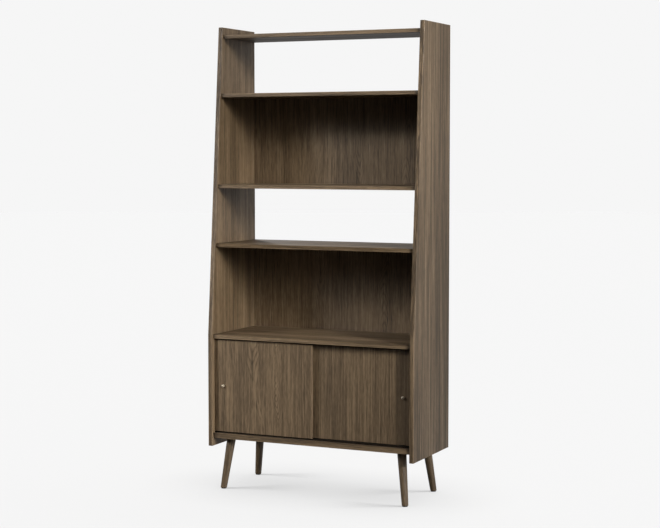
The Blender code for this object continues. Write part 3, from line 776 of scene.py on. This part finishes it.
head = grow("GeometryNodeMeshCone", {"Vertices": HEAD_SIDES, "Radius Top": given["Face Radius"],
                                     "Radius Bottom": given["Base Radius"], "Depth": given["Head Height"]})
to_face = grow("ShaderNodeCombineXYZ", {"Z": given["Head Height"]})
arms = []
for long_side, short_side in (("X", "Y"), ("Y", "X")):
    arm = grow("ShaderNodeCombineXYZ", {long_side: given["Cross Length"], short_side: given["Cross Width"],
                                        "Z": given["Cut Height"]})
    arm = grow("GeometryNodeMeshCube", {"Size": arm})
    arms.append(grow("GeometryNodeTransform", {"Geometry": arm, "Translation": to_face}))
head = grow("GeometryNodeMeshBoolean", {"Mesh 1": head, "Mesh 2": arms}, operation="DIFFERENCE", solver="EXACT")
shank = grow("GeometryNodeMeshCone", {"Vertices": SHANK_SIDES, "Radius Top": given["Shank Radius"],
                                      "Radius Bottom": given["Shank Radius"], "Depth": given["Shank Length"]})
shank = grow("GeometryNodeTransform", {"Geometry": shank, "Rotation": (math.pi, 0.0, 0.0)})
screw = grow("GeometryNodeJoinGeometry", {"Geometry": [head, shank]})
print("screw tree with", len(SCREW_SIZES), "sizes")

# %% [markdown]
# The second half of the tree sets the screws out: one on each point, turned to face outwards, then spun about its
# own axis by a fixed seed. Realize Instances comes last, so that the result is a plain mesh.

# %% Screw rows
SPIN_SEED = 5
chance = screw_tree.nodes.new("FunctionNodeRandomValue")
chance.data_type = "FLOAT"
chance.inputs[3].default_value = math.tau
chance.inputs["Seed"].default_value = SPIN_SEED
spin = grow("ShaderNodeCombineXYZ", {"Z": chance.outputs[1]})
row = grow("GeometryNodeInstanceOnPoints", {"Points": given["Places"], "Instance": screw,
                                            "Rotation": given["Facing"]})
row = grow("GeometryNodeRotateInstances", {"Instances": row, "Rotation": spin, "Local Space": True})
row = grow("GeometryNodeRealizeInstances", {"Geometry": row})
screw_tree.links.new(row, screw_tree.nodes.new("NodeGroupOutput").inputs[0])


def screw_row(name, places, facing, sizes, finish):
    """Screws on some points, as one plain mesh. A place is where a head starts, on the side away from its face."""
    seeds = bpy.data.meshes.new(name + "_places")
    seeds.from_pydata(places, [], [])
    piece = bpy.data.objects.new(name, seeds)
    scene.collection.objects.link(piece)
    maker = piece.modifiers.new("cross_screws", "NODES")
    maker.node_group = screw_tree
    values = dict(zip(SCREW_SIZES, sizes)) | {"Facing": facing}
    for socket in screw_tree.interface.items_tree:
        if socket.name in values:
            maker[socket.identifier] = values[socket.name]
    graph = bpy.context.evaluated_depsgraph_get()
    mesh = bpy.data.meshes.new_from_object(piece.evaluated_get(graph), preserve_all_data_layers=True,
                                           depsgraph=graph)
    piece.modifiers.remove(maker)
    piece.data = mesh
    mesh.name = name
    mesh.materials.clear()
    mesh.materials.append(finish)
    print(name, len(places), "screws,", len(mesh.polygons), "faces")
    return piece


# %% [markdown]
# ## Plate screws
# Four countersunk screws hold each leg plate from below. They stand where the solid screws do, with the same
# heads and shanks, and add the cross.

# %% Plate screws
PLATE_SCREWS = [name for name in nodes if "_plate_screw_" in name]
PLATE_HEAD = 0.0021
PLATE_SCREW_SIZES = (0.0040, 0.0019, PLATE_HEAD, 0.0019, 0.0130, 0.0042, 0.0009, 0.0030)
heads = []
for name in PLATE_SCREWS:
    low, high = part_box(name)
    heads.append(((low.x + high.x) / 2, (low.y + high.y) / 2, low.z + PLATE_HEAD))
plate_screws = screw_row("plate_screws", heads, (math.pi, 0.0, 0.0), PLATE_SCREW_SIZES, zinc)
stand_for(plate_screws, "case", "zinc_steel", zinc, *PLATE_SCREWS)

# %% [markdown]
# ## Back screws
# Small low heads go round each back: along both sides, and along every board that it crosses. The laps are only
# six millimetres wide, so the rows keep three millimetres from the edges.

# %% Back screws
EDGE_ROW = 0.003
ROW_INSET, SIDE_INSET, ALONG_ROW = 0.08, 0.05, 5
BACK_SCREW_SIZES = (0.0019, 0.0025, 0.0009, 0.0012, 0.0020, 0.0024, 0.0006, 0.0011)
ROWS = {"upper_back_panel": (3, ()), "lower_back_panel": (6, ("cabinet_top",))}    # down the sides, boards crossed


def steps(first, last, count):
    """Evenly spaced values from the first to the last."""
    return [first + (last - first) * number / (count - 1) for number in range(count)]


places = []
for name, (down_sides, crossed) in ROWS.items():
    low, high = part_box(name)
    face = high.y - BACK_RECESS
    levels = [low.z + EDGE_ROW, high.z - EDGE_ROW]
    levels += [sum(corner.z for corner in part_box(board)) / 2 for board in crossed]
    places += [(x, face, z) for z in levels for x in steps(low.x + ROW_INSET, high.x - ROW_INSET, ALONG_ROW)]
    places += [(x, face, z) for z in steps(low.z + SIDE_INSET, high.z - SIDE_INSET, down_sides)
               for x in (low.x + EDGE_ROW, high.x - EDGE_ROW)]
back_screws = screw_row("back_screws", places, (-math.pi / 2, 0.0, 0.0), BACK_SCREW_SIZES, zinc)
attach(back_screws, "case")
